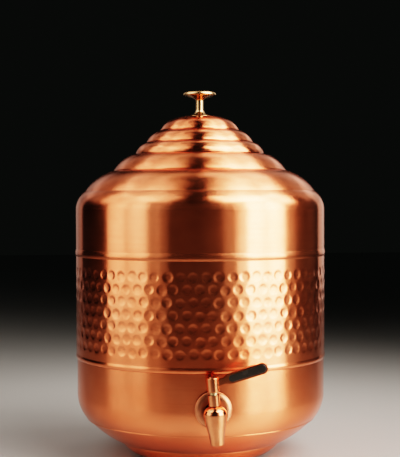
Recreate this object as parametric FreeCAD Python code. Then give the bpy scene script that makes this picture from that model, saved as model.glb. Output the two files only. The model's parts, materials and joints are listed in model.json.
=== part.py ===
import FreeCAD, Part
import math
import os
from FreeCAD import Vector

# A copper water dispenser: a spun tank with a hammered band, a stepped lid with a
# brass knob, and a quarter-turn tap low on the front. Millimetres, +Z up, the
# origin on the axis in the plane the tank stands on, and the tap towards -Y.

# ---- driving dimensions: tank ----
SHEET = 0.9                 # thickness of the spun copper sheet
WALL_R = 125.0              # outer radius of the shoulder wall and the hammered band
MOUTH_R = 57.0              # clear radius of the filling mouth
LIP_DEPTH = 11.5            # how far the mouth's edge is turned down
LAND_Z = 300.4              # flat land round the mouth that carries the lid
BAND_TOP_Z = 205.5
BAND_BOTTOM_Z = 98.0
BOWL_TOP_Z = 105.0
LAP_BEAD_TOP = 206.8        # the lap bead over the band's top edge
LAP_BEAD_HEIGHT = 7.2
LAP_BEAD_PROUD = 0.65       # how far that bead stands out of the wall
LOW_BEAD_HEIGHT = 6.2       # the bead that forms the band's lower edge
LOW_BEAD_PROUD = 0.45
LOW_BEAD_TUCK = 0.4         # how far that bead's lower lip turns in
BASE_R = 57.5               # flat face that the tank rests on

# ---- driving dimensions: lid ----
LID_TOP_Z = 339.15
LID_R = 65.0
LID_BOTTOM_Z = LAND_Z + SHEET
RIM_INNER_R = 59.5          # inner edge of the lid's turned-in rim
COLLAR_R = 56.2             # outer radius of the ring that drops into the mouth
COLLAR_DEPTH = 13.0
COLLAR_FLANGE_R = 62.5
KNOB_SEAT_R = 10.6
KNOB_STEM_R = 4.0
KNOB_FLARE = 7.4            # heights above the knob's seat: where the foot starts to flare
KNOB_UNDER = 17.2           # the disc's coned underside, at the stem
KNOB_RIM = 21.8             # the disc's widest edge
KNOB_CROWN = 24.2           # the top of the disc's rim
KNOB_DISC_R = 16.6
KNOB_DISH = 1.6             # depth of the hollow in the disc's top
KNOB_FLAT_R = 3.0           # flat middle of that hollow
KNOB_LIP = 2.2              # width of the raised rim round it
KNOB_STUD_R = 2.0
KNOB_STUD_LENGTH = 6.2      # how far the knob's stud reaches below its seat
KNOB_WASHER_R = 6.0
KNOB_WASHER_THICK = 1.0
KNOB_NUT_FLATS = 7.0
KNOB_NUT_THICK = 3.2

# ---- driving dimensions: tap ----
TAP_Z = 65.6                # height of the tap's horizontal axis
TAP_REACH = 140.6           # distance from the tank's axis to the tap's stem
TAP_ROLL = -4.2             # the tap is screwed in a little short of upright, degrees
FLANGE_R = 17.0
FLANGE_BOSS_R = 11.4        # flat middle of the flange, round the arm
FLANGE_VALLEY_R = 16.1      # where the slope from the middle meets the rolled rim
FLANGE_FACE = 127.3         # front of the flange, from the tank's axis
FLANGE_BACK = 125.2
ARM_END = FLANGE_FACE + 1.0  # where the arm's shoulder bears on the flange
ARM_HALF_WIDTH = 10.9
ARM_HALF_HEIGHT = 8.9
ARM_DROP = 3.4              # the arm's oval hangs this far below the waterway
SHANK_R = 8.0
SHANK_END = 100.0           # inner end of the threaded shank, from the tank's axis
WATERWAY_R = 4.4
OUTER_GASKET_R = 15.4
INNER_GASKET_R = 12.5
INNER_GASKET_FACE = 118.8
WASHER_R = 13.5
WASHER_THICK = 1.5
NUT_THICK = 6.0
NUT_FLATS = 24.0
HOLE_CLEARANCE = 0.2
NUT_CHAMFER = 0.045         # how far a nut's corners are turned off, as a share of its flats

# ---- driving dimensions: valve, heights from the tap's horizontal axis ----
PLUG_BORE_R = 5.0
STEM_R = 2.5
RUNNING = 0.05              # radial clearance of the parts that turn
PLUG_TOP = 3.8
PLUG_BOTTOM = -12.3
PLUG_ROOF = 3.0             # top of the hollow inside the plug
PORT_R = 2.6
SEAT_TOP = 4.0              # top of the plug's bore
SHOULDER = 6.0              # seat of the bonnet
BONNET_TOP = 16.3
BONNET_R = 5.05
SPIGOT_R = 3.8
PACKING_R = 3.9
PACKING_LOW = 13.3
NOZZLE_TOP = -12.5          # joint between the tap's body and its spout
NOZZLE_R = 3.0
SPOUT_TIP = -28.4
RING_HEIGHT = -6.5
RING_SECTION_R = 0.7
RING_GAP = 0.03
RING_CENTRE_R = PLUG_BORE_R - RING_SECTION_R - RING_GAP

# ---- driving dimensions: lever ----
HUB_R = 5.2
HUB_BOTTOM = 18.9
HUB_TOP = 31.8
HUB_RECESS_R = 3.7
HUB_RECESS = 2.4
STEM_TOP = 27.0
LEVER_SCREW_R = 1.5
LEVER_ROOT = 26.0           # where the lever's centre line leaves the stem's axis
LEVER_RISE = 12.8           # degrees
LEVER_LENGTH = 51.0
LEVER_THICK = 4.6
NECK_HALF = 2.6
NECK_END = 10.0
PADDLE_START = 16.5
PADDLE_ROOT_HALF = 4.5      # half width where the paddle starts, then near its round end
PADDLE_TIP_HALF = 5.2
GRIP_START = 14.8
GRIP_END = 49.4
GRIP_ROOT_HALF = 3.05
GRIP_TIP_HALF = 3.6
GRIP_PROUD = 0.25
THRUST_R = 3.6
LEVER_HEAD_R = 2.9          # cheese head of the lever's screw
LEVER_HEAD_HEIGHT = 1.7
SCREW_DEPTH = 6.0           # thread of that screw inside the stem

UP = Vector(0, 0, 1)
BACK = Vector(0, 1, 0)


class Outline:
    """A path of lines and tangent arcs in the half plane of radius and height."""

    def __init__(self, radius, height, heading=0.0):
        self.point = Vector(radius, 0, height)
        self.heading = math.radians(heading)
        self.edges = []

    def line(self, radius, height):
        end = Vector(radius, 0, height)
        self.edges.append(Part.LineSegment(self.point, end).toShape())
        self.heading = math.atan2(end.z - self.point.z, end.x - self.point.x)
        self.point = end
        return self

    def turn(self, heading):
        """A crease: the next arc leaves at this angle above the horizontal."""
        self.heading = math.radians(heading)
        return self

    def arc(self, radius, height):
        """An arc that leaves along the present heading and ends at this point."""
        end = Vector(radius, 0, height)
        chord = end - self.point
        slope = math.atan2(chord.z, chord.x)
        half = math.remainder(slope - self.heading, 2 * math.pi)
        bulge = chord.Length / 2 * math.tan(half / 2)
        middle = (self.point + end) * 0.5 + Vector(math.sin(slope), 0, -math.cos(slope)) * bulge
        self.edges.append(Part.Arc(self.point, middle, end).toShape())
        self.heading = slope + half
        self.point = end
        return self


def revolve(edges):
    """The solid that a closed loop of edges sweeps round the vertical axis."""
    face = Part.Face(Part.Wire(Part.__sortEdges__(edges)))
    return face.revolve(Vector(0, 0, 0), UP, 360)


def turned(outline, radial_shift=0.0, height_shift=0.0):
    """A solid inside an outline, closed along the axis, with the outline moved."""
    move = Vector(radial_shift, 0, height_shift)
    edges = [edge.translated(move) for edge in outline.edges]
    first = edges[0].valueAt(edges[0].FirstParameter)
    last = edges[-1].valueAt(edges[-1].LastParameter)
    top = Vector(0, 0, first.z)
    bottom = Vector(0, 0, last.z)
    for start, end in ((first, top), (top, bottom), (bottom, last)):
        if (start - end).Length > 1e-6:
            edges.append(Part.LineSegment(start, end).toShape())
    return revolve(edges)


def disc(radius, low, high):
    """A vertical cylinder on the axis, between two heights."""
    return Part.makeCylinder(radius, high - low, Vector(0, 0, low), UP)


def ring(outer_r, inner_r, low, high):
    """A vertical tube on the axis, between two heights."""
    return disc(outer_r, low, high).cut(disc(inner_r, low, high))


def across(radius, far, near):
    """A cylinder on the tap's horizontal axis, between two distances from the tank's axis."""
    return Part.makeCylinder(radius, far - near, Vector(0, -far, TAP_Z), BACK)


def round_edges(shape, radius, chosen):
    """The shape with the edges that the test picks rounded over."""
    return shape.makeFillet(radius, [edge for edge in shape.Edges if chosen(edge)])


def is_circle(edge, radius, height):
    """Whether an edge is a horizontal circle of this radius at this height."""
    curve = edge.Curve
    if not isinstance(curve, Part.Circle):
        return False
    return abs(curve.Radius - radius) < 1e-3 and abs(curve.Center.z - height) < 1e-3


# ---- tank ----
def shoulder_outline():
    """From the land round the mouth, over two rounded steps, and down the wall."""
    outline = Outline(MOUTH_R, LAND_Z).line(66.5, LAND_Z)
    outline.arc(72.0, 299.1).arc(86.6, 285.2).line(86.8, 284.4)
    outline.turn(-14).arc(115.4, 264.1)
    outline.turn(-35.3).arc(WALL_R, 246.0)
    return outline.line(WALL_R, BAND_TOP_Z)


def lap_bead():
    """The half-round bead that laps over the top edge of the band."""
    low = LAP_BEAD_TOP - LAP_BEAD_HEIGHT
    bead = Outline(WALL_R, low).line(WALL_R, LAP_BEAD_TOP)
    middle = Vector(WALL_R + LAP_BEAD_PROUD, 0, low + LAP_BEAD_HEIGHT / 2)
    bottom = Vector(WALL_R, 0, low)
    return revolve(bead.edges + [Part.Arc(bead.point, middle, bottom).toShape()])


def shoulder_shell():
    outline = shoulder_outline()
    shell = turned(outline).cut(turned(outline, -SHEET, -SHEET))
    shell = shell.cut(disc(WALL_R, BAND_TOP_Z - 2 * SHEET, BAND_TOP_Z))
    shell = shell.cut(disc(MOUTH_R, LAND_Z - 2 * SHEET, LAND_Z))
    lip = ring(MOUTH_R + SHEET, MOUTH_R, LAND_Z - LIP_DEPTH, LAND_Z)
    shell = shell.fuse([lip, lap_bead()]).removeSplitter()
    return round_edges(shell, 0.8, lambda edge: is_circle(edge, MOUTH_R, LAND_Z))


def hammered_band():
    """A plain ring whose lower edge swells into a bead over the bowl's top edge."""
    inner = WALL_R - SHEET
    band = Outline(inner, BAND_BOTTOM_Z).line(inner, BAND_TOP_Z).line(WALL_R, BAND_TOP_Z)
    band.line(WALL_R, BAND_BOTTOM_Z + LOW_BEAD_HEIGHT)
    middle = Vector(WALL_R + LOW_BEAD_PROUD, 0, BAND_BOTTOM_Z + LOW_BEAD_HEIGHT / 2)
    end = Vector(WALL_R - LOW_BEAD_TUCK, 0, BAND_BOTTOM_Z)
    bead = Part.Arc(band.point, middle, end).toShape()
    foot = Part.LineSegment(end, Vector(inner, 0, BAND_BOTTOM_Z)).toShape()
    return revolve(band.edges + [bead, foot])


def bowl_outline():
    """Down the lower wall, round two creases and in to the flat base."""
    wall = WALL_R - SHEET
    outline = Outline(wall, BOWL_TOP_Z).line(wall, 62.0)
    outline.arc(115.6, 39.2).line(114.7, 38.9)
    outline.turn(-131).arc(85.0, 16.2).line(81.0, 15.2)
    return outline.turn(-118).arc(BASE_R, 0.0)


def lower_bowl():
    outline = bowl_outline()
    bowl = turned(outline).cut(turned(outline, -SHEET, SHEET))
    return bowl.cut(across(SHANK_R + HOLE_CLEARANCE, WALL_R, SHANK_END))


# ---- lid ----
def lid_outline():
    """From the flat seat of the knob down three rounded steps to the rim."""
    outline = Outline(SHEET + 0.1, LID_TOP_Z).line(KNOB_SEAT_R, LID_TOP_Z)
    outline.arc(28.0, 336.1).arc(39.8, 325.6).line(39.8, 324.9)
    outline.turn(-12).arc(53.8, 313.5).line(53.8, 312.9)
    return outline.turn(-14).arc(LID_R, LID_BOTTOM_Z)


def lid_shell():
    outline = lid_outline()
    shell = turned(outline).cut(turned(outline, -SHEET, -SHEET))
    rim = ring(LID_R - SHEET, RIM_INNER_R, LAND_Z, LID_BOTTOM_Z)
    shell = shell.cut(disc(LID_R, LAND_Z - SHEET, LAND_Z)).fuse(rim)
    hole = disc(KNOB_STUD_R + HOLE_CLEARANCE, LID_TOP_Z - 2 * SHEET, LID_TOP_Z)
    return shell.cut(hole).removeSplitter()


def lid_collar():
    """A ring of angle section: its flange lies on the rim, its skirt hangs in the mouth."""
    flange = ring(COLLAR_FLANGE_R, COLLAR_R - SHEET, LID_BOTTOM_Z, LID_BOTTOM_Z + SHEET)
    skirt = ring(COLLAR_R, COLLAR_R - SHEET, LAND_Z - COLLAR_DEPTH, LID_BOTTOM_Z)
    return flange.fuse(skirt).removeSplitter()


def knob():
    """A turned brass knob: dished disc, slender stem, flared foot and threaded stud."""
    seat = LID_TOP_Z
    under = seat + KNOB_UNDER
    rim = seat + KNOB_RIM
    dish = seat + KNOB_CROWN - KNOB_DISH
    outline = Outline(0.0, dish).line(KNOB_FLAT_R, dish)
    outline.arc(KNOB_DISC_R - KNOB_LIP, seat + KNOB_CROWN)
    outline.turn(-8).arc(KNOB_DISC_R, rim).arc(KNOB_DISC_R - 1.0, rim - 0.9)
    outline.line(KNOB_STEM_R + 1.4, under).turn(-160).arc(KNOB_STEM_R, under - 1.4)
    outline.line(KNOB_STEM_R, seat + KNOB_FLARE).arc(KNOB_SEAT_R - 1.4, seat + 1.2)
    outline.arc(KNOB_SEAT_R, seat + 0.5).line(KNOB_SEAT_R, seat)
    stud = disc(KNOB_STUD_R, seat - KNOB_STUD_LENGTH, seat)
    return turned(outline).fuse(stud).removeSplitter()


def knob_washer():
    top = LID_TOP_Z - SHEET
    return ring(KNOB_WASHER_R, KNOB_STUD_R + HOLE_CLEARANCE, top - KNOB_WASHER_THICK, top)


def nut(flats, thickness, bore_r):
    """A hexagon nut standing on the origin, the corners of its upper face turned off."""
    corner_r = flats / math.sqrt(3)
    corners = []
    for step in range(7):
        angle = math.radians(60 * step)
        corners.append(Vector(corner_r * math.cos(angle), corner_r * math.sin(angle), 0))
    prism = Part.Face(Part.makePolygon(corners)).extrude(UP * thickness)
    upper_r = corner_r - NUT_CHAMFER * flats
    cone = Part.makeCone(upper_r + 0.7 * thickness, upper_r, thickness)
    return prism.common(cone).cut(disc(bore_r, 0, thickness))


def knob_nut():
    """The nut on the knob's stud, its turned-off corners downwards."""
    shape = nut(KNOB_NUT_FLATS, KNOB_NUT_THICK, KNOB_STUD_R)
    shape.rotate(Vector(0, 0, 0), Vector(1, 0, 0), 180)
    return shape.translated(UP * (LID_TOP_Z - SHEET - KNOB_WASHER_THICK))


# ---- tap: built with its stem upright on the line x = 0, y = -TAP_REACH ----
STEM_FOOT = Vector(0, -TAP_REACH, TAP_Z)


def on_stem(shape):
    """Move a shape from the origin to the crossing of the stem and the tap's axis."""
    return shape.translated(STEM_FOOT)


def rolled(shape):
    """Turn a tap piece with the tap, about its horizontal axis."""
    turned_shape = shape.copy()
    turned_shape.rotate(STEM_FOOT, BACK, TAP_ROLL)
    return turned_shape


def tap_flange():
    """A disc with a raised middle and a rolled rim, clamped against the gasket."""
    profile = Outline(SHANK_R, FLANGE_BACK).line(SHANK_R, ARM_END)
    profile.line(FLANGE_BOSS_R, ARM_END).arc(FLANGE_VALLEY_R, FLANGE_FACE - 0.3)
    profile.turn(30).arc(FLANGE_R, FLANGE_FACE - 0.9).arc(FLANGE_R - 0.4, FLANGE_BACK)
    profile.line(SHANK_R, FLANGE_BACK)
    flange = revolve(profile.edges)
    flange.rotate(Vector(0, 0, 0), Vector(1, 0, 0), 90)
    return flange.translated(Vector(0, 0, TAP_Z))


def outer_gasket():
    """A rubber ring, flat under the flange and following the bowl behind."""
    blank = across(OUTER_GASKET_R, FLANGE_BACK, SHANK_END)
    return blank.cut(turned(bowl_outline())).cut(across(SHANK_R, FLANGE_BACK, SHANK_END))


def inner_gasket():
    """A rubber ring that follows the inside of the bowl and is flat on the tank side."""
    inside = turned(bowl_outline(), -SHEET, SHEET)
    blank = across(INNER_GASKET_R, WALL_R, INNER_GASKET_FACE).common(inside)
    return blank.cut(across(SHANK_R, WALL_R, SHANK_END))


def inner_washer():
    near = INNER_GASKET_FACE - WASHER_THICK
    plate = across(WASHER_R, INNER_GASKET_FACE, near)
    return plate.cut(across(SHANK_R + HOLE_CLEARANCE, INNER_GASKET_FACE, near))


def lock_nut():
    """The nut that clamps the shank from inside the tank."""
    shape = nut(NUT_FLATS, NUT_THICK, SHANK_R)
    shape.rotate(Vector(0, 0, 0), Vector(1, 0, 0), -90)
    return shape.translated(Vector(0, WASHER_THICK - INNER_GASKET_FACE, TAP_Z))


def pin_outline():
    """The turned vertical body of the tap, from the bonnet's seat to the spout's tip."""
    pin = Outline(BONNET_R, SHOULDER).turn(-15).arc(10.4, -1.5).arc(8.1, -15.6)
    return pin.arc(6.2, -27.6).arc(5.6, SPOUT_TIP)


def spout_end():
    """Everything of the pin that lies below the joint with the spout."""
    return turned(pin_outline()).common(disc(2 * BONNET_R, SPOUT_TIP, NOZZLE_TOP))


def arm():
    """The oval horizontal arm between the flange and the pin."""
    oval = Part.Ellipse(Vector(0, 0, 0), ARM_HALF_WIDTH, ARM_HALF_HEIGHT).toShape()
    face = Part.Face(Part.Wire(oval))
    face.rotate(Vector(0, 0, 0), Vector(1, 0, 0), 90)
    face.translate(Vector(0, -TAP_REACH, TAP_Z - ARM_DROP))
    return face.extrude(BACK * (TAP_REACH - ARM_END))


def tap_body():
    """Pin, arm and threaded shank in one casting, bored for water and for the plug."""
    pin = on_stem(turned(pin_outline()).cut(spout_end()))
    shank = across(SHANK_R, ARM_END, SHANK_END)
    body = pin.fuse([arm(), shank])
    body = body.cut(across(WATERWAY_R, TAP_REACH, SHANK_END))
    body = body.cut(on_stem(disc(PLUG_BORE_R, NOZZLE_TOP, SEAT_TOP)))
    body = body.cut(on_stem(disc(SPIGOT_R, SEAT_TOP, SHOULDER)))
    return rolled(body.removeSplitter())


def bonnet():
    """The neck above the pin, screwed into it by a spigot and recessed for the packing."""
    bore = STEM_R + RUNNING
    neck = disc(BONNET_R, SHOULDER, BONNET_TOP)
    neck = round_edges(neck, 1.0, lambda edge: is_circle(edge, BONNET_R, SHOULDER))
    neck = neck.fuse(disc(SPIGOT_R, SEAT_TOP, SHOULDER))
    neck = neck.cut(disc(bore, SEAT_TOP, BONNET_TOP)).cut(disc(PACKING_R, PACKING_LOW, BONNET_TOP))
    return rolled(on_stem(neck.removeSplitter()))


def stem_packing():
    return rolled(on_stem(ring(PACKING_R, STEM_R + RUNNING, PACKING_LOW, BONNET_TOP)))


def spout_nozzle():
    """The tapered foot of the pin: it keeps the plug up and forms the outlet."""
    return rolled(on_stem(spout_end().cut(disc(NOZZLE_R, SPOUT_TIP, NOZZLE_TOP))))


# ---- lever and valve plug ----
def valve_plug():
    """A hollow plug with one side port, and the stem that turns it."""
    plug_r = PLUG_BORE_R - RUNNING
    plug = disc(plug_r, PLUG_BOTTOM, PLUG_TOP).cut(disc(PORT_R, PLUG_BOTTOM, PLUG_ROOF))
    port = Part.makeCylinder(PORT_R, PLUG_BORE_R, Vector(0, 0, 0), Vector(-1, 0, 0))
    floor_r = RING_CENTRE_R - RING_SECTION_R - RING_GAP
    half = RING_SECTION_R + RING_GAP
    groove = ring(PLUG_BORE_R, floor_r, RING_HEIGHT - half, RING_HEIGHT + half)
    plug = plug.cut(port).cut(groove)
    thread = disc(LEVER_SCREW_R, STEM_TOP - SCREW_DEPTH, STEM_TOP)
    stem = disc(STEM_R, PLUG_TOP, STEM_TOP).cut(thread)
    return rolled(on_stem(plug.fuse(stem).removeSplitter()))


def plug_o_ring():
    torus = Part.makeTorus(RING_CENTRE_R, RING_SECTION_R, Vector(0, 0, RING_HEIGHT), UP)
    return rolled(on_stem(torus))


def thrust_washer():
    return rolled(on_stem(ring(THRUST_R, STEM_R, BONNET_TOP + RUNNING, HUB_BOTTOM)))


def raised(shape):
    """Tilt a shape drawn along +X to the rise of the lever and set it on the stem."""
    tilted = shape.copy()
    tilted.rotate(Vector(0, 0, 0), BACK, -LEVER_RISE)
    return tilted.translated(Vector(0, 0, LEVER_ROOT))


def bar(outline, thickness):
    """A flat bar: an outline in the plane of the lever, thickened equally both ways."""
    face = Part.Face(Part.Wire(Part.__sortEdges__(outline.edges)))
    face.translate(BACK * (-thickness / 2))
    return face.extrude(BACK * thickness)


def paddle_outline():
    """A narrow neck that swells into a paddle, widest at its round end."""
    swell = (NECK_END + PADDLE_START) / 2
    waist = (NECK_HALF + PADDLE_ROOT_HALF) / 2
    tip = LEVER_LENGTH - PADDLE_TIP_HALF
    side = Outline(0, -NECK_HALF).line(NECK_END, -NECK_HALF)
    side.arc(swell, -waist).arc(PADDLE_START, -PADDLE_ROOT_HALF)
    side.line(tip, -PADDLE_TIP_HALF).turn(0).arc(tip, PADDLE_TIP_HALF)
    side.line(PADDLE_START, PADDLE_ROOT_HALF).turn(180).arc(swell, waist)
    side.arc(NECK_END, NECK_HALF).line(0, NECK_HALF)
    return side.line(0, -NECK_HALF)


def grip_outline():
    """A long slot shape with two round ends, wider towards the lever's tip."""
    start = GRIP_START + GRIP_ROOT_HALF
    end = GRIP_END - GRIP_TIP_HALF
    slot = Outline(start, -GRIP_ROOT_HALF).line(end, -GRIP_TIP_HALF)
    slot.turn(0).arc(end, GRIP_TIP_HALF).line(start, GRIP_ROOT_HALF)
    return slot.turn(180).arc(start, -GRIP_ROOT_HALF)


def lever_handle():
    """Hub and paddle in one casting."""
    hub = disc(HUB_R, HUB_BOTTOM, HUB_TOP)
    hub = round_edges(hub, 0.6, lambda edge: isinstance(edge.Curve, Part.Circle))
    handle = hub.fuse(raised(bar(paddle_outline(), LEVER_THICK)))
    handle = handle.cut(raised(bar(grip_outline(), 2 * LEVER_THICK)))
    handle = handle.cut(disc(HUB_RECESS_R, HUB_TOP - HUB_RECESS, HUB_TOP + HUB_RECESS))
    handle = handle.cut(disc(STEM_R, HUB_BOTTOM, STEM_TOP))
    handle = handle.cut(disc(LEVER_SCREW_R + 0.1, STEM_TOP, HUB_TOP))
    return rolled(on_stem(handle.removeSplitter()))


def lever_grip():
    """The black insert let into the paddle."""
    insert = bar(grip_outline(), LEVER_THICK + 2 * GRIP_PROUD)
    rims = [edge for edge in insert.Edges if abs(abs(edge.CenterOfMass.y) - insert.BoundBox.YMax) < 1e-3]
    return rolled(on_stem(raised(insert.makeFillet(0.2, rims))))


def lever_screw():
    """A cheese-head screw in the hub's recess that holds the lever on the stem."""
    seat = HUB_TOP - HUB_RECESS
    head = disc(LEVER_HEAD_R, seat, seat + LEVER_HEAD_HEIGHT)
    corner = Vector(-LEVER_HEAD_R, -0.4, seat + LEVER_HEAD_HEIGHT - 0.8)
    slot = Part.makeBox(2 * LEVER_HEAD_R, 0.8, 0.8, corner)
    shank = disc(LEVER_SCREW_R, STEM_TOP - SCREW_DEPTH, seat)
    return rolled(on_stem(head.cut(slot).fuse(shank).removeSplitter()))


PIECES = [
    shoulder_shell, hammered_band, lower_bowl,
    lid_shell, lid_collar, knob, knob_washer, knob_nut,
    tap_flange, outer_gasket, inner_gasket, inner_washer, lock_nut,
    tap_body, bonnet, stem_packing, spout_nozzle,
    valve_plug, plug_o_ring, thrust_washer, lever_handle, lever_grip, lever_screw,
]

os.makedirs("parts", exist_ok=True)
for piece in PIECES:
    solid = piece()
    solid.exportStep("parts/" + piece.__name__ + ".step")
    print(piece.__name__, len(solid.Solids), solid.isValid(), round(solid.Volume, 1))
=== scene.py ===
import json
import math
import random

import bpy
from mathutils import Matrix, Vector


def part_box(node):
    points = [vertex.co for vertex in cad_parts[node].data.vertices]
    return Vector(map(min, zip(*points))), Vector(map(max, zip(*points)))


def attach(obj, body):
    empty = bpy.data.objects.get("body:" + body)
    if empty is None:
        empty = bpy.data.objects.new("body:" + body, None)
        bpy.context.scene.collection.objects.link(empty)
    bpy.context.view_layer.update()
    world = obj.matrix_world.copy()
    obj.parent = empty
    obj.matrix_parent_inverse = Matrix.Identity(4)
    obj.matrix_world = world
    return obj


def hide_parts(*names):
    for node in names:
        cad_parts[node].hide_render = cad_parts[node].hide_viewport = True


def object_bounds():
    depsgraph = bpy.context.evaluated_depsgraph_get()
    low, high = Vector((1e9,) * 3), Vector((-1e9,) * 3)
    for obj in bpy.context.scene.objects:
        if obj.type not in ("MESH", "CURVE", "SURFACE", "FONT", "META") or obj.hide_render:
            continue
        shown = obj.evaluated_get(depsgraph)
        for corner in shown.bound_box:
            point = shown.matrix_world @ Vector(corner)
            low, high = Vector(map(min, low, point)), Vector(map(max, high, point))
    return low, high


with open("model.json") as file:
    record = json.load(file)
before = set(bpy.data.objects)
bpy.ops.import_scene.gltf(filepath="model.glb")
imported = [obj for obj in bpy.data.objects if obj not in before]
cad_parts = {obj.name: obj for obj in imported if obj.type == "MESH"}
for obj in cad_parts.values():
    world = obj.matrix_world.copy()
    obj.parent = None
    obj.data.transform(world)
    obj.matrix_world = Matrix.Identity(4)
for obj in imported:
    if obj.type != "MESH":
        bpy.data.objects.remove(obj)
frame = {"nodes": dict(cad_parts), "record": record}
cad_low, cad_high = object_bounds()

# A copper water dispenser in a small studio. Metres, +Z up, the tap towards -Y.

# ---- places worked out from the frame ----
BAND_LOW, BAND_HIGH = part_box("hammered_band")
TANK_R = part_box("lower_bowl")[1].x              # outer radius of the lower wall
TOP_Z = cad_high.z
BAND_PROUD = 0.0009                             # the band stands this far outside the bowl's wall
BAND_R = TANK_R + BAND_PROUD

# ---- camera ----
CAMERA_AZIMUTH = -5.25                          # degrees to the side of the tap
CAMERA_DISTANCE = 8.9 * BAND_R
CAMERA_HEIGHT = 0.7042 * TOP_Z
CAMERA_PITCH = -1.536                           # degrees
CAMERA_ROLL = 0.18                              # degrees
CAMERA_LENS = 86.65                             # mm, on SENSOR_WIDTH
SENSOR_WIDTH = 36.0

# ---- hammered band ----
DIMPLE_SEED = 7
DIMPLE_ROWS = 7
DIMPLES_ROUND = 66
DIMPLE_R = 0.0049
DIMPLE_DEPTH = 0.00030
DIMPLE_FIRST = 0.0204                           # first row below the band's top edge
DIMPLE_PITCH = 0.01165
DIMPLE_DRIFT_ROUND = 0.7                        # mm that a mark may be off its place
DIMPLE_DRIFT_UP = 0.6
DIMPLE_R_RANGE = (0.92, 1.06)
DIMPLE_DEPTH_RANGE = (0.8, 1.2)
DIMPLE_SHAPE = 1.6                              # higher is a narrower floor and a softer rim
CELLS_PER_DIMPLE = 14
BEAD_HEIGHT = 0.0050
BEAD_PROUD = 0.00040
BEAD_TUCK = 0.0003                              # how far the bead's foot turns in
BEAD_STEPS = 8

# ---- rolled lines round the bowl: distance in from the wall, height ----
BOWL_LINES = ((0.0091, 0.0388), (0.0412, 0.0158))
LINE_HALF_HEIGHT = 0.0009
LINE_PROUD = 0.00045
LINE_COLUMNS = 256
LINE_CORNERS = 10

# ---- studio ----
FLOOR_HALF = 4.0
WORLD_COLOUR = (0.006, 0.007, 0.006, 1.0)
LIGHT_DISTANCE = 1.6
LIGHT_TARGET = Vector((0, 0, 0.18))
LIGHT_SPREAD = 50                               # degrees
LIGHT_COLOUR = (1.0, 0.90, 0.80)
PANEL_DEGREES = 22                              # widest flat panel, as seen from the tank

# name, azimuth from the tap's side (positive to the right), elevation, width and height
# as seen from the tank (all degrees), radiance
SOFT_BOXES = [
    ("front_fill", -8, 10, 44, 40, 0.012),
    ("left_low", -73, 4, 42, 40, 0.74),
    ("left_edge", -46, 6, 12, 44, 0.13),
    ("left_fade", -38, 6, 10, 44, 0.07),
    ("left_mid", -84, 38, 50, 30, 0.58),
    ("left_front", -56, 50, 30, 26, 0.50),
    ("left_high", -116, 61, 50, 24, 0.26),
    ("left_top", -84, 72, 26, 20, 0.14),
    ("left_back", -136, 38, 40, 34, 0.09),
    ("left_rim", -152, 12, 28, 34, 0.075),
    ("right_low", 55, 4, 37, 40, 3.9),
    ("right_edge", 33, 6, 13, 44, 0.85),
    ("right_fade", 20, 6, 10, 44, 0.12),
    ("right_side", 80, 8, 14, 36, 0.15),
    ("right_flank", 104, 8, 34, 36, 0.02),
    ("right_mid", 66, 38, 50, 30, 2.6),
    ("right_front", 40, 50, 34, 26, 2.5),
    ("right_high", 110, 61, 50, 24, 0.90),
    ("right_top", 80, 72, 26, 20, 0.50),
    ("right_back", 136, 38, 40, 34, 0.12),
    ("right_rim", 141, 12, 24, 34, 0.17),
]

# ---- colours and finishes ----
COPPER_LIGHT = (0.94, 0.268, 0.125)
COPPER_DEEP = (0.84, 0.188, 0.078)
CREASE_SHADE_SAMPLES = 8
FINE_LINES = 2600.0                             # lathe lines, noise scale across the lines
BROAD_LINES = 420.0

# slot: roughness from, roughness to, bump of the lathe lines
SPUN = {
    "copper_satin": (0.17, 0.27, 0.00005),
    "copper_lid": (0.15, 0.24, 0.00004),
    "copper_hammered": (0.16, 0.26, 0.00001),
}

# slot: lighter colour, deeper colour, roughness from, roughness to
POLISHED = {
    "copper_flange": ((0.80, 0.30, 0.16), (0.66, 0.22, 0.11), 0.26, 0.36),
    "copper_polished": ((0.84, 0.29, 0.14), (0.70, 0.21, 0.09), 0.10, 0.16),
    "brass_polished": ((0.76, 0.50, 0.27), (0.62, 0.36, 0.16), 0.16, 0.24),
    "brass_plain": ((0.74, 0.56, 0.30), (0.60, 0.43, 0.21), 0.25, 0.4),
    "steel_screw": ((0.62, 0.61, 0.60), (0.48, 0.47, 0.46), 0.25, 0.4),
}

# slot: lighter colour, deeper colour, roughness from, roughness to, weight of the gloss coat
MOULDED = {
    "rubber_black": ((0.020, 0.020, 0.020), (0.035, 0.034, 0.033), 0.6, 0.8, 0.0),
    "packing_white": ((0.78, 0.77, 0.74), (0.70, 0.69, 0.66), 0.4, 0.6, 0.0),
    "grip_black": ((0.006, 0.005, 0.004), (0.014, 0.011, 0.009), 0.2, 0.3, 0.8),
}


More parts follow.
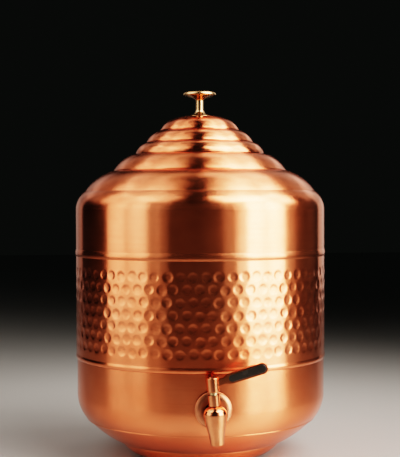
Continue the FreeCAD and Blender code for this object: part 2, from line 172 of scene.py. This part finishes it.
# ---------------------------------------------------------------- node helper
class Graph:
    """A short way to write a material's nodes."""

    def __init__(self, name):
        self.material = bpy.data.materials.new(name)
        self.material.use_nodes = True
        self.tree = self.material.node_tree
        self.tree.nodes.clear()
        self.output = self.tree.nodes.new("ShaderNodeOutputMaterial")

    def node(self, kind, **settings):
        made = self.tree.nodes.new("ShaderNode" + kind)
        for key, value in settings.items():
            setattr(made, key, value)
        return made

    def link(self, source, target):
        self.tree.links.new(source, target)

    def put(self, value, socket):
        """Feed a socket from another socket, or set it to a constant."""
        if isinstance(value, bpy.types.NodeSocket):
            self.link(value, socket)
        else:
            socket.default_value = value

    def place(self):
        return self.node("TexCoord").outputs["Object"]

    def math(self, operation, a, b=0.0):
        made = self.node("Math", operation=operation)
        self.put(a, made.inputs[0])
        self.put(b, made.inputs[1])
        return made.outputs[0]

    def times(self, a, b):
        return self.math("MULTIPLY", a, b)

    def sum_of(self, a, weight_a, b, weight_b):
        """Two values, each times its weight, added up."""
        return self.math("ADD", self.times(a, weight_a), self.times(b, weight_b))

    def combine(self, x, y, z):
        made = self.node("CombineXYZ")
        for value, socket in zip((x, y, z), made.inputs):
            self.put(value, socket)
        return made.outputs[0]

    def noise(self, vector, scale=1.0, detail=2.0, roughness=0.5):
        made = self.node("TexNoise")
        self.put(vector, made.inputs["Vector"])
        made.inputs["Scale"].default_value = scale
        made.inputs["Detail"].default_value = detail
        made.inputs["Roughness"].default_value = roughness
        return made.outputs["Fac"]

    def remap(self, value, from_low, from_high, to_low, to_high):
        made = self.node("MapRange")
        for key, number in (("Value", value), ("From Min", from_low), ("From Max", from_high),
                            ("To Min", to_low), ("To Max", to_high)):
            self.put(number, made.inputs[key])
        return made.outputs[0]

    def mix(self, factor, first, second):
        """Blend two colours. A plain colour is written as red, green and blue."""
        made = self.node("Mix", data_type="RGBA")
        self.put(factor, made.inputs[0])
        for colour, socket in ((first, made.inputs[6]), (second, made.inputs[7])):
            self.put((*colour, 1.0) if isinstance(colour, tuple) else colour, socket)
        return made.outputs[2]

    def painted_crease_shade(self, colour, distance, open_from, open_to, strength, dark):
        """Paint shade into the colour where surfaces stand close together, from ambient occlusion."""
        made = self.node("AmbientOcclusion", samples=CREASE_SHADE_SAMPLES)
        made.inputs["Distance"].default_value = distance
        shade = self.remap(made.outputs["AO"], open_from, open_to, strength, 0.0)
        return self.mix(shade, colour, dark)

    def bump(self, height, distance, strength=1.0):
        made = self.node("Bump")
        made.inputs["Strength"].default_value = strength
        made.inputs["Distance"].default_value = distance
        self.put(height, made.inputs["Height"])
        return made.outputs[0]

    def principled(self, **values):
        made = self.node("BsdfPrincipled")
        for key, value in values.items():
            self.put(value, made.inputs[key.replace("_", " ")])
        self.link(made.outputs[0], self.output.inputs["Surface"])
        return made


# ---------------------------------------------------------------- materials
def spun_copper(name, rough_low, rough_high, line_bump):
    """Copper spun and polished on a lathe: lines round the axis, faint tarnish, and painted shade in every
    crease and step.
    """
    graph = Graph(name)
    place = graph.place()
    split = graph.node("SeparateXYZ")
    graph.link(place, split.inputs[0])
    x, y, z = split.outputs
    radius = graph.math("SQRT", graph.sum_of(x, x, y, y))
    around = graph.sum_of(x, 6.0, y, 4.0)

    def lathe_lines(scale, detail):
        across = graph.combine(graph.times(z, scale), graph.times(radius, scale), around)
        return graph.noise(across, 1.0, detail)

    lines = graph.sum_of(lathe_lines(FINE_LINES, 2.0), 0.6, lathe_lines(BROAD_LINES, 3.0), 0.4)
    tarnish = graph.noise(place, 14.0, 4.0, 0.6)
    colour = graph.mix(graph.remap(tarnish, 0.38, 0.68, 0.0, 1.0), COPPER_LIGHT, COPPER_DEEP)
    colour = graph.mix(graph.remap(lines, 0.3, 0.7, 0.0, 0.22), colour, COPPER_DEEP)
    # painted shade: the colour goes dark brown where surfaces stand close, in every crease and step
    colour = graph.painted_crease_shade(colour, 0.007, 0.35, 0.9, 0.75, (0.12, 0.04, 0.02))
    smear = graph.noise(place, 38.0, 3.0, 0.6)
    rough = graph.remap(graph.sum_of(lines, 0.6, smear, 0.4), 0.3, 0.7, rough_low, rough_high)
    tangent = graph.node("Tangent", direction_type="RADIAL", axis="Z")
    shader = graph.principled(Base_Color=colour, Metallic=1.0, Roughness=rough,
                              Normal=graph.bump(lines, line_bump))
    shader.inputs["Anisotropic"].default_value = 0.8
    shader.inputs["Anisotropic Rotation"].default_value = 0.25
    graph.link(tangent.outputs[0], shader.inputs["Tangent"])
    return graph.material


def polished_metal(name, light, deep, rough_low, rough_high):
    """A cast and buffed fitting: soft mottling and fine scratches in every direction."""
    graph = Graph(name)
    place = graph.place()
    mottle = graph.noise(place, 160.0, 4.0, 0.6)
    scratches = graph.noise(place, 900.0, 3.0, 0.7)
    colour = graph.mix(graph.remap(mottle, 0.35, 0.7, 0.0, 1.0), light, deep)
    # painted shade: the colour goes dark where the fitting stands close to the tank and in its own
    # recesses
    colour = graph.painted_crease_shade(colour, 0.025, 0.3, 0.85, 0.92, (0.07, 0.03, 0.015))
    graph.principled(Base_Color=colour, Metallic=1.0,
                     Roughness=graph.remap(mottle, 0.3, 0.7, rough_low, rough_high),
                     Normal=graph.bump(scratches, 0.00002, 0.5))
    return graph.material


def moulded(name, light, deep, rough_low, rough_high, coat):
    """Rubber or plastic with a faint grain."""
    graph = Graph(name)
    place = graph.place()
    grain = graph.noise(place, 700.0, 3.0, 0.6)
    cloud = graph.noise(place, 60.0, 3.0, 0.5)
    colour = graph.mix(graph.remap(cloud, 0.35, 0.65, 0.0, 1.0), light, deep)
    # painted shade: the colour goes dark where surfaces stand close, in grooves and between parts
    colour = graph.painted_crease_shade(colour, 0.012, 0.4, 0.95, 0.95, (0.03, 0.02, 0.014))
    shader = graph.principled(Base_Color=colour, Metallic=0.0,
                              Roughness=graph.remap(cloud, 0.3, 0.7, rough_low, rough_high),
                              Normal=graph.bump(grain, 0.00004, 0.4))
    shader.inputs["Coat Weight"].default_value = coat
    shader.inputs["Coat Roughness"].default_value = 0.12
    return graph.material


def floor_material():
    """Pale seamless studio floor with a soft sheen."""
    graph = Graph("studio_floor")
    place = graph.place()
    colour = graph.mix(graph.noise(place, 3.0, 4.0), (0.32, 0.325, 0.33), (0.36, 0.365, 0.37))
    grain = graph.bump(graph.noise(place, 60.0, 4.0), 0.0002, 0.2)
    shader = graph.principled(Base_Color=colour, Roughness=0.6, Normal=grain)
    shader.inputs["Coat Weight"].default_value = 1.0
    shader.inputs["Coat Roughness"].default_value = 0.42
    shader.inputs["Coat IOR"].default_value = 2.6
    return graph.material


MATERIALS = {}
for kind, table in ((spun_copper, SPUN), (polished_metal, POLISHED), (moulded, MOULDED)):
    for slot, finish in table.items():
        MATERIALS[slot] = kind(slot, *finish)


def dress_nodes():
    """Give every CAD node the material of its slot."""
    slots = {part["node"]: part["material_slot"] for part in frame["record"]["subparts"]}
    for name, node in frame["nodes"].items():
        node.data.materials.clear()
        node.data.materials.append(MATERIALS[slots[name]])


# ---------------------------------------------------------------- meshes
def add_mesh(name, verts, faces, material):
    mesh = bpy.data.meshes.new(name)
    mesh.from_pydata(verts, [], faces)
    mesh.materials.append(material)
    piece = bpy.data.objects.new(name, mesh)
    bpy.context.scene.collection.objects.link(piece)
    return piece


def ride_on_tank(name, verts, faces, slot):
    """A smooth piece that stays with the tank."""
    piece = add_mesh(name, verts, faces, MATERIALS[slot])
    piece.data.shade_smooth()
    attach(piece, "tank")
    return piece


def on_circle(radius, angle, height):
    return (radius * math.cos(angle), radius * math.sin(angle), height)


# ---------------------------------------------------------------- hammered band
def dimple_field():
    """Centres and sizes of the hammer marks: staggered rows, slightly uneven by hand."""
    rng = random.Random(DIMPLE_SEED)
    marks = []
    for row in range(DIMPLE_ROWS):
        height = BAND_HIGH.z - DIMPLE_FIRST - row * DIMPLE_PITCH
        for step in range(DIMPLES_ROUND):
            turn = (step + 0.5 * (row % 2)) / DIMPLES_ROUND
            marks.append((
                2 * math.pi * turn + rng.uniform(-DIMPLE_DRIFT_ROUND, DIMPLE_DRIFT_ROUND) * 0.001 / BAND_R,
                height + rng.uniform(-DIMPLE_DRIFT_UP, DIMPLE_DRIFT_UP) * 0.001,
                DIMPLE_R * rng.uniform(*DIMPLE_R_RANGE),
                DIMPLE_DEPTH * rng.uniform(*DIMPLE_DEPTH_RANGE),
            ))
    return marks


def dimple_depths(heights, columns, cell):
    """How far the band's outer face is pressed in, by height and column."""
    depth = [[0.0] * columns for _ in heights]
    for angle, height, reach, deep in dimple_field():
        centre = angle / (2 * math.pi) * columns
        span = int(reach / cell) + 2
        for i, level in enumerate(heights):
            if abs(level - height) > reach:
                continue
            for step in range(-span, span + 1):
                column = int(round(centre)) + step
                across = (column - centre) * cell
                away = (across * across + (level - height) ** 2) / (reach * reach)
                if away < 1.0:
                    hollow = deep * (1.0 - away * away) ** DIMPLE_SHAPE
                    index = column % columns
                    depth[i][index] = max(depth[i][index], hollow)
    return depth


def hammered_band():
    """The band as one closed skin, with real hollows on its outer face."""
    columns = DIMPLES_ROUND * CELLS_PER_DIMPLE
    cell = 2 * math.pi * BAND_R / columns
    bead_top = BAND_LOW.z + BEAD_HEIGHT
    rows = int((BAND_HIGH.z - bead_top) / cell)
    heights = [bead_top + (BAND_HIGH.z - bead_top) * i / rows for i in range(rows + 1)]
    flat = [0.0] * columns
    profile = []
    for i in range(BEAD_STEPS):
        share = i / BEAD_STEPS
        proud = BEAD_PROUD * math.sin(math.pi * share) - BEAD_TUCK * (1 - share) ** 3
        profile.append((BAND_R + proud, BAND_LOW.z + BEAD_HEIGHT * share, flat))
    for level, pressed in zip(heights, dimple_depths(heights, columns, cell)):
        profile.append((BAND_R, level, pressed))
    profile.append((TANK_R, BAND_HIGH.z, flat))
    profile.append((TANK_R, BAND_LOW.z, flat))
    verts = []
    for radius, level, pressed in profile:
        for column in range(columns):
            verts.append(on_circle(radius - pressed[column], 2 * math.pi * column / columns, level))
    faces = []
    for i in range(len(profile)):
        low, high = i * columns, (i + 1) % len(profile) * columns
        for column in range(columns):
            after = (column + 1) % columns
            faces.append((low + column, low + after, high + after, high + column))
    piece = ride_on_tank("hammered_band_skin", verts, faces, "copper_hammered")
    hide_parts("hammered_band")


# ---------------------------------------------------------------- rolled lines on the bowl
def bowl_line(number, inset, height):
    """A fine rolled line, oval in section, where the bowl changes its curve."""
    verts = []
    for column in range(LINE_COLUMNS):
        angle = 2 * math.pi * column / LINE_COLUMNS
        for corner in range(LINE_CORNERS):
            lean = 2 * math.pi * corner / LINE_CORNERS
            out = TANK_R - inset + LINE_PROUD * math.cos(lean)
            verts.append(on_circle(out, angle, height + LINE_HALF_HEIGHT * math.sin(lean)))
    faces = []
    for column in range(LINE_COLUMNS):
        here, there = column * LINE_CORNERS, (column + 1) % LINE_COLUMNS * LINE_CORNERS
        for corner in range(LINE_CORNERS):
            after = (corner + 1) % LINE_CORNERS
            faces.append((here + corner, there + corner, there + after, here + after))
    ride_on_tank(f"bowl_line_{number}", verts, faces, "copper_satin")


# ---------------------------------------------------------------- studio
def studio_floor():
    corners = [(x * FLOOR_HALF, y * FLOOR_HALF, 0) for x, y in ((-1, -1), (1, -1), (1, 1), (-1, 1))]
    add_mesh("floor", corners, [(0, 1, 2, 3)], floor_material())


def panel(name, azimuth, elevation, width, height, radiance):
    """One flat light that faces the tank from a given direction."""
    data = bpy.data.lights.new(name, "AREA")
    data.shape = "RECTANGLE"
    data.size = 2 * LIGHT_DISTANCE * math.tan(math.radians(width / 2))
    data.size_y = 2 * LIGHT_DISTANCE * math.tan(math.radians(height / 2))
    data.energy = radiance * data.size * data.size_y
    data.spread = math.radians(LIGHT_SPREAD)
    data.color = LIGHT_COLOUR
    light = bpy.data.objects.new(name, data)
    turn, rise = math.radians(azimuth), math.radians(elevation)
    away = Vector((math.sin(turn) * math.cos(rise), -math.cos(turn) * math.cos(rise), math.sin(rise)))
    light.location = LIGHT_TARGET + away * LIGHT_DISTANCE
    light.rotation_euler = away.to_track_quat("Z", "Y").to_euler()
    light.visible_camera = False
    bpy.context.scene.collection.objects.link(light)


def soft_box(name, azimuth, elevation, width, height, radiance):
    """A wide soft box, made of panels that each face the tank, so that it is even to its edges."""
    columns = math.ceil(width / PANEL_DEGREES)
    rows = math.ceil(height / PANEL_DEGREES)
    for row in range(rows):
        rise = elevation + ((row + 0.5) / rows - 0.5) * height
        spread = width / math.cos(math.radians(rise))
        for column in range(columns):
            turn = azimuth + ((column + 0.5) / columns - 0.5) * spread
            panel(f"{name}_{row}_{column}", turn, rise, width / columns, height / rows, radiance)


def studio_lights():
    for box in SOFT_BOXES:
        soft_box(*box)
    world = bpy.data.worlds.new("studio")
    world.use_nodes = True
    world.node_tree.nodes["Background"].inputs["Color"].default_value = WORLD_COLOUR
    bpy.context.scene.world = world


def camera():
    data = bpy.data.cameras.new("camera")
    data.lens = CAMERA_LENS
    data.sensor_width = SENSOR_WIDTH
    cam = bpy.data.objects.new("camera", data)
    turn = math.radians(CAMERA_AZIMUTH)
    cam.location = (CAMERA_DISTANCE * math.sin(turn), -CAMERA_DISTANCE * math.cos(turn), CAMERA_HEIGHT)
    cam.rotation_euler = (math.radians(90 + CAMERA_PITCH), math.radians(CAMERA_ROLL), turn)
    bpy.context.scene.collection.objects.link(cam)
    bpy.context.scene.camera = cam


camera()
dress_nodes()
hammered_band()
for line_number, (line_inset, line_height) in enumerate(BOWL_LINES):
    bowl_line(line_number, line_inset, line_height)
studio_floor()
studio_lights()
bpy.context.scene.view_settings.view_transform = "Filmic"
bpy.context.scene.view_settings.look = "High Contrast"
